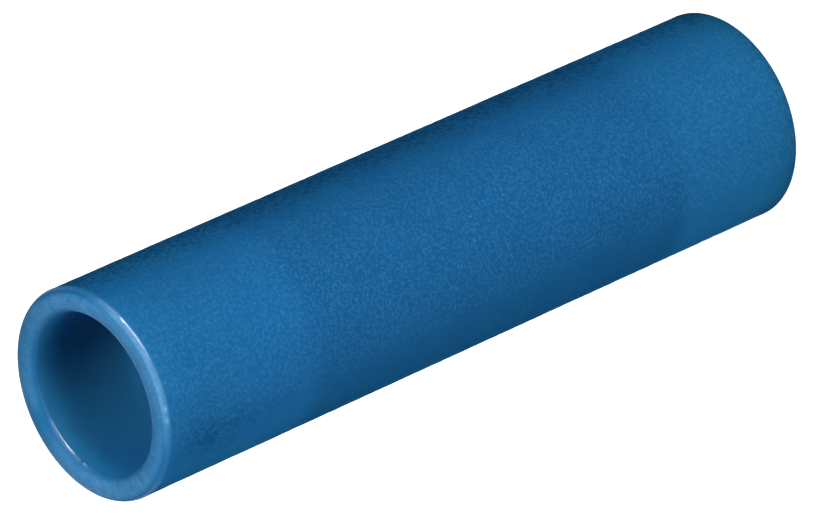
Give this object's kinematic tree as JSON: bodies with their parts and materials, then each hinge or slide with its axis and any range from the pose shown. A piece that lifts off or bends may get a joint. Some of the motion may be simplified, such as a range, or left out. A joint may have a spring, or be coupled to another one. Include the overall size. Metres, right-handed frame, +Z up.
{
  "type": "insulated butt splice connector",
  "caption": "Straight tubular crimp connector: a translucent blue plastic sleeve with open mouths over a tinned metal barrel with a centre stop, for joining wires end to end.",
  "frame": {"origin": "centre of the lower rim, on the surface that the connector stands on", "axes": "+Z up along the axis of the sleeve, towards the upper mouth, which has the rounder rim; the part is round, so +X and +Y are free"},
  "size_m": [0.0064, 0.0064, 0.025],
  "materials": {
    "blue_sleeve_plastic": "translucent blue plastic with a fine moulded leather grain and lighter, frosted rims",
    "tinned_copper": "tin-plated copper, satin, drawn tube"
  },
  "bodies": {
    "root": {"insulating_sleeve": "blue_sleeve_plastic", "crimp_barrel": "tinned_copper"}
  },
  "joints": []
}
